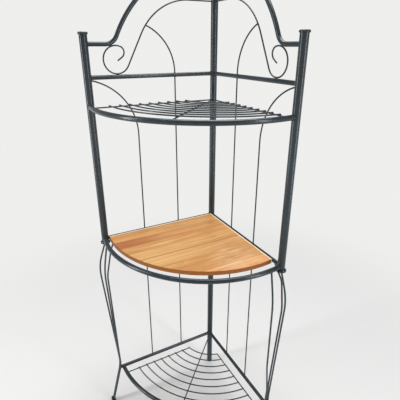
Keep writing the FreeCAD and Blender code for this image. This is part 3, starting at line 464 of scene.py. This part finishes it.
class Welds:
    """Beads of weld metal, gathered into one mesh."""
    STEP = 0.0007                                     # about the distance from ring to ring
    FEWEST_ROUND = 16                                 # rings of a bead round a bar
    FEWEST_STRAIGHT = 8
    TURNS = 10                                        # corners of a ring
    SAMPLE = 3                                        # every so many corners tell if the skin twists
    RIPPLE = 0.16                                     # how much a bead swells and thins
    RIPPLE_LENGTH = 0.0021
    UNEVENNESS = 0.06
    END_SHARE = 0.03                                  # of an open bead's length, blunt at each end
    END_ROUNDING = 0.45
    REACH = 0.03                                      # of a ray, both ways from a bar's end

    def __init__(self):
        self.mesh = bmesh.new()

    def lay(self, path, bead, closed=True):
        """A rippled bead of one radius along points."""
        last = len(path) - 1
        rings = []
        length = 0.0
        start = RANDOM.uniform(0, math.tau)
        for number, point in enumerate(path):
            if closed:
                before, after = path[number - 1], path[(number + 1) % len(path)]
            else:
                before, after = path[max(number - 1, 0)], path[min(number + 1, last)]
            swell = 1 + self.RIPPLE * math.sin(start + math.tau * length / self.RIPPLE_LENGTH)
            swell *= 1 + RANDOM.uniform(-self.UNEVENNESS, self.UNEVENNESS)
            if not closed:
                share = min(max(number / last, self.END_SHARE), 1 - self.END_SHARE)
                swell *= math.sin(math.pi * share) ** self.END_ROUNDING
            rings.append([self.mesh.verts.new(point + spoke * bead * swell)
                          for spoke in spokes((after - before).normalized(), self.TURNS)])
            length += (after - point).length
        self.skin(rings, closed)

    def skin(self, rings, closed):
        """Faces from ring to ring, and over the ends of an open bead."""
        pairs = list(zip(rings, rings[1:]))
        if closed:
            pairs.append((rings[-1], rings[0]))
        for one, other in pairs:
            offset = self.best_offset(one, other)
            other = other[offset:] + other[:offset]
            for turn in range(self.TURNS):
                following = (turn + 1) % self.TURNS
                self.mesh.faces.new((one[turn], one[following], other[following], other[turn]))
        if not closed:
            self.mesh.faces.new(list(reversed(rings[0])))
            self.mesh.faces.new(rings[-1])

    def best_offset(self, one, other):
        """How far round the next ring to start, so that the skin isn't twisted."""
        def stretch(offset):
            return sum((one[turn].co - other[(turn + offset) % self.TURNS].co).length
                       for turn in range(0, self.TURNS, self.SAMPLE))
        return min(range(self.TURNS), key=stretch)

    def round_end(self, centre, ahead, radius, target, bead):
        """A bead round the end of a bar where it meets another piece; none if it misses the piece."""
        ahead = ahead.normalized()
        count = max(self.FEWEST_ROUND, int(math.tau * radius / self.STEP))
        path = []
        for spoke in spokes(ahead, count):
            start = centre - ahead * self.REACH + spoke * radius
            hit = target.ray_cast(start, ahead, 2 * self.REACH)[0]
            if hit is None:
                return
            path.append(hit)
        self.lay(path, bead)

    def tack(self, centre, along, length, bead):
        """A short straight bead."""
        along = along.normalized()
        steps = max(self.FEWEST_STRAIGHT, int(length / self.STEP))
        path = [centre + along * length * (step / (steps - 1) - 0.5) for step in range(steps)]
        self.lay(path, bead, closed=False)

    def finish(self, name, material):
        """Turn the beads into one painted piece on the rack's body."""
        mesh = bpy.data.meshes.new(name)
        bmesh.ops.recalc_face_normals(self.mesh, faces=self.mesh.faces[:])
        self.mesh.to_mesh(mesh)
        self.mesh.free()
        for face in mesh.polygons:
            face.use_smooth = True
        mesh.materials.append(material)
        piece = bpy.data.objects.new(name, mesh)
        bpy.context.scene.collection.objects.link(piece)
        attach(piece, "root")


def panel_point(side, along, inwards, height):
    """A point by its distances along a side panel and in from it."""
    return OUTWARD[side] * along + INWARD[side] * inwards + UP * height


def weld_crossing(welds, side, radius, inset, height, length, bead):
    """A short bead where a side rib passes under a wire or tube bent about the rear post."""
    along = math.sqrt(radius ** 2 - inset ** 2)
    welds.tack(panel_point(side, along, inset, height), INWARD[side], length, bead)


def weld_side_panel(side, paint):
    """Beads where the rails, wires and scroll of one side panel meet."""
    welds = Welds()
    out = OUTWARD[side]
    rear_lower, rear_upper = as_tree("rear_post_lower"), as_tree("rear_post_upper")
    stub, post = as_tree(f"front_post_stub_{side}"), as_tree(f"front_post_{side}")
    bottom, middle, top = (as_tree(f"{level}_rail_{side}") for level in ("bottom", "middle", "top"))

    # bars that end on a post: height, radii of bar and bead, rear post, front post
    for height, radius, bead, rear, front in (
        (BOTTOM_RAIL, RAIL_RADIUS, RAIL_BEAD, rear_lower, None),
        (MIDDLE_RAIL, RAIL_RADIUS, RAIL_BEAD, rear_lower, stub),
        (TOP_RAIL, RAIL_RADIUS, RAIL_BEAD, rear_upper, post),
        (ARCH_FOOT, RAIL_RADIUS, RAIL_BEAD, None, post),
        (ARCH_PEAK, RAIL_RADIUS, RAIL_BEAD, rear_upper, None),
        (SCROLL_END, WIRE_RADIUS, WIRE_BEAD, rear_upper, None),
        (OUTER_WIRE_TOP, WIRE_RADIUS, WIRE_BEAD, None, post),
    ):
        if rear:
            welds.round_end(UP * height, -out, radius, rear, bead)
        if front:
            welds.round_end(out * SIDE_LENGTH + UP * height, out, radius, front, bead)

    # upright wires: place along the panel, rail below and its height, rail above and its height
    for along, low, high in (
        (INNER_WIRE, (bottom, BOTTOM_RAIL), (middle, MIDDLE_RAIL)),
        (OUTER_WIRE, (bottom, BOTTOM_RAIL), (middle, MIDDLE_RAIL)),
        (INNER_WIRE, (middle, MIDDLE_RAIL), (top, TOP_RAIL)),
        (OUTER_WIRE, (middle, MIDDLE_RAIL), None),
        (INNER_WIRE, (top, TOP_RAIL), None),
    ):
        rail, height = low
        welds.round_end(out * along + UP * height, -UP, WIRE_RADIUS, rail, WIRE_BEAD)
        if high:
            rail, height = high
            welds.round_end(out * along + UP * height, UP, WIRE_RADIUS, rail, WIRE_BEAD)

    welds.tack(panel_point(side, *CURL_FOOT), out, CURL_TACK, CURL_BEAD)
    slope = panel_point(side, *CURL_TOP_SLOPE)
    welds.tack(panel_point(side, *CURL_TOP), slope, CURL_TACK, CURL_BEAD)
    welds.finish(f"side_panel_welds_{side}", paint)


def weld_leg(side, paint):
    """Beads at the tops of one leg's three rods, where they come together, and at the rail's end."""
    welds = Welds()
    for (start, knee), target in (
        (MAIN_ROD, f"post_collar_{side}"),
        (SIDE_ROD, f"middle_rail_{side}"),
    ):
        start, knee = panel_point(side, *start), panel_point(side, *knee)
        welds.round_end(start, start - knee, ROD_RADIUS, as_tree(target), ROD_BEAD)
    angle = FRONT_HALF_ANGLE - FRONT_ROD_TOP / FRONT_RADIUS
    spoke = Vector((HANDS[side] * math.sin(angle), -math.cos(angle), 0))
    start = Vector((0, FRONT_CENTRE, MIDDLE_RAIL)) + spoke * FRONT_RADIUS
    ahead = start - panel_point(side, *FRONT_KNEE)
    welds.round_end(start, ahead, ROD_RADIUS, as_tree("front_tube_middle"), ROD_BEAD)
    welds.tack(panel_point(side, *ROD_JOIN), UP, JOIN_TACK, JOIN_BEAD)
    rail_end = panel_point(side, BOTTOM_RAIL_END, 0, BOTTOM_RAIL + RAIL_END_LIFT)
    welds.tack(rail_end, INWARD[side], RAIL_END_TACK, RAIL_END_BEAD)
    welds.finish(f"leg_welds_{side}", paint)


def weld_front(paint):
    """Beads where the front tubes meet the front posts and the bottom rails."""
    welds = Welds()
    for side, hand in HANDS.items():
        ahead = Vector((hand * math.cos(FRONT_HALF_ANGLE), math.sin(FRONT_HALF_ANGLE), 0))
        corner = Vector((hand * CORNER, -CORNER, 0))
        for height, post in ((MIDDLE_RAIL, f"front_post_stub_{side}"), (TOP_SHELF, f"front_post_{side}")):
            welds.round_end(corner + UP * height, ahead, FRONT_TUBE_RADIUS, as_tree(post), RAIL_BEAD)
        hoop_end = panel_point(side, BOTTOM_HOOP, 0, BOTTOM_RAIL)
        welds.round_end(hoop_end, -INWARD[side], RAIL_RADIUS - HOOP_BEAD_INSET,
                        as_tree(f"bottom_rail_{side}"), RAIL_BEAD)
    welds.finish("front_tube_welds", paint)


def weld_shelves(paint):
    """Beads of the wire shelves' ribs, and of the bars under the board."""
    welds = Welds()
    rear_lower, rear_upper = as_tree("rear_post_lower"), as_tree("rear_post_upper")
    top_contact = TOP_RIBS + WIRE_RADIUS
    bottom_contact = BOTTOM_RIBS + WIRE_RADIUS
    for side, out in OUTWARD.items():
        rib_end = panel_point(side, SIDE_LENGTH, TOP_RIB_INSET, TOP_RIBS)
        welds.round_end(rib_end, out, WIRE_RADIUS, as_tree(f"front_post_{side}"), WIRE_BEAD)
        rib_end = panel_point(side, 0, TOP_RIB_INSET, TOP_RIBS)
        welds.round_end(rib_end, -out, WIRE_RADIUS, rear_upper, WIRE_BEAD)
        for radius in TOP_ARCS:
            weld_crossing(welds, side, radius, TOP_RIB_INSET, top_contact, RIB_TACK, RIB_BEAD)
        for radius in BOTTOM_ARCS:
            weld_crossing(welds, side, radius, BOTTOM_RIB_INSET, bottom_contact, RIB_TACK, RIB_BEAD)
        weld_crossing(welds, side, BOTTOM_HOOP, BOTTOM_RIB_INSET, bottom_contact, HOOP_TACK, WIRE_BEAD)
        for place in BAR_PLACES:
            on_bar = panel_point(side, place * math.sqrt(2), 0, MIDDLE_RAIL - RAIL_RADIUS)
            for edge in (-BAR_HALF_WIDTH, BAR_HALF_WIDTH):
                welds.tack(on_bar + REAR * edge, RIGHT, BAR_TACK, WIRE_BEAD)
    for radius in TOP_ARCS:
        welds.tack(Vector((0, -radius, top_contact)), RIGHT, ARC_TACK, WIRE_BEAD)
    for radius in BOTTOM_ARCS:
        welds.tack(Vector((0, -radius, bottom_contact)), RIGHT, ARC_TACK, WIRE_BEAD)
    welds.tack(Vector((0, -BOTTOM_HOOP, bottom_contact)), RIGHT, HOOP_TACK, WIRE_BEAD)
    tube_side = math.sqrt(FRONT_TUBE_RADIUS ** 2 - (TOP_SHELF - top_contact) ** 2)
    welds.tack(Vector((0, tube_side - FRONT_REACH, top_contact)), RIGHT, TUBE_TACK, WIRE_BEAD)
    welds.round_end(UP * BOTTOM_RIBS, REAR, WIRE_RADIUS, rear_lower, WIRE_BEAD)
    welds.finish("shelf_welds", paint)


# Studio

def make_floor():
    """A pale floor that fades into the backdrop far from the rack."""
    mesh = bpy.data.meshes.new("floor")
    corners = [(-1, -1, 0), (1, -1, 0), (1, 1, 0), (-1, 1, 0)]
    mesh.from_pydata([Vector(corner) * FLOOR_REACH for corner in corners], [], [(0, 1, 2, 3)])
    floor = bpy.data.objects.new("floor", mesh)
    bpy.context.scene.collection.objects.link(floor)
    graph = Graph("pale_floor")
    away = graph.length(graph.add("TexCoord").outputs["Object"])
    matt = graph.add("BsdfDiffuse", {"Color": FLOOR_COLOUR})
    far = graph.add("Emission", {"Color": BACKDROP, "Strength": 1.0})
    rays = graph.add("LightPath").outputs
    seen = graph.maths("MAXIMUM", rays["Is Glossy Ray"], rays["Is Transmission Ray"])
    seen = graph.maths("MAXIMUM", seen, rays["Is Camera Ray"])
    share = graph.maths("MULTIPLY", seen, graph.between(away, *FLOOR_FADE, smooth=True))
    mixed = graph.add("MixShader", {0: share, 1: matt.outputs[0], 2: far.outputs[0]})
    graph.add("OutputMaterial", {"Surface": mixed.outputs[0]})
    mesh.materials.append(graph.material)


def make_world():
    """Even grey light, and the pale backdrop for what the camera sees."""
    world = bpy.data.worlds.new("studio")
    bpy.context.scene.world = world
    world.use_nodes = True
    nodes, links = world.node_tree.nodes, world.node_tree.links
    nodes.clear()
    light = nodes.new("ShaderNodeBackground")
    light.inputs["Color"].default_value = DAYLIGHT
    light.inputs["Strength"].default_value = DAYLIGHT_STRENGTH
    backdrop = nodes.new("ShaderNodeBackground")
    backdrop.inputs["Color"].default_value = BACKDROP
    rays = nodes.new("ShaderNodeLightPath")
    seen = nodes.new("ShaderNodeMath")
    seen.operation = "MAXIMUM"
    links.new(rays.outputs["Is Camera Ray"], seen.inputs[0])
    links.new(rays.outputs["Is Transmission Ray"], seen.inputs[1])
    mix = nodes.new("ShaderNodeMixShader")
    links.new(seen.outputs[0], mix.inputs[0])
    links.new(light.outputs[0], mix.inputs[1])
    links.new(backdrop.outputs[0], mix.inputs[2])
    out = nodes.new("ShaderNodeOutputWorld")
    links.new(mix.outputs[0], out.inputs["Surface"])


def make_lamps():
    """Soft rectangular lamps: a tall one on either side of the front, and one above."""
    for name, (spot, width, height, power) in LAMPS.items():
        data = bpy.data.lights.new(name, "AREA")
        data.shape = "RECTANGLE"
        data.size = width
        data.size_y = height
        data.energy = power
        lamp = bpy.data.objects.new(name, data)
        aim = Vector(LAMP_AIM) - Vector(spot)
        lamp.rotation_euler = aim.to_track_quat("-Z", "Y").to_euler()
        lamp.location = spot
        bpy.context.scene.collection.objects.link(lamp)


def make_camera():
    """The camera that was fitted to the photo."""
    data = bpy.data.cameras.new("camera")
    data.sensor_width = SENSOR
    data.lens = SENSOR * FOCAL_PIXELS / IMAGE_PIXELS
    camera = bpy.data.objects.new("camera", data)
    camera.matrix_world = (Matrix.Translation(CAMERA_SPOT)
                           @ Matrix.Rotation(CAMERA_TURN, 4, "Z")
                           @ Matrix.Rotation(math.pi / 2 - CAMERA_TILT, 4, "X")
                           @ Matrix.Rotation(CAMERA_ROLL, 4, "Z"))
    bpy.context.scene.collection.objects.link(camera)
    bpy.context.scene.camera = camera


MATERIALS = {
    "frame_paint": paint_material(),
    "shelf_wood": wood_material(),
    "plastic_ends": plastic_material(),
    "screw_steel": steel_material("zinc_plate", *ZINC_TONES),
    "bare_steel": steel_material("drawn_steel", *STEEL_TONES),
}
make_camera()
make_floor()
make_world()
make_lamps()
dress(MATERIALS)
for side in HANDS:
    weld_side_panel(side, MATERIALS["frame_paint"])
    weld_leg(side, MATERIALS["frame_paint"])
weld_front(MATERIALS["frame_paint"])
weld_shelves(MATERIALS["frame_paint"])

bpy.context.scene.view_settings.view_transform = "Standard"
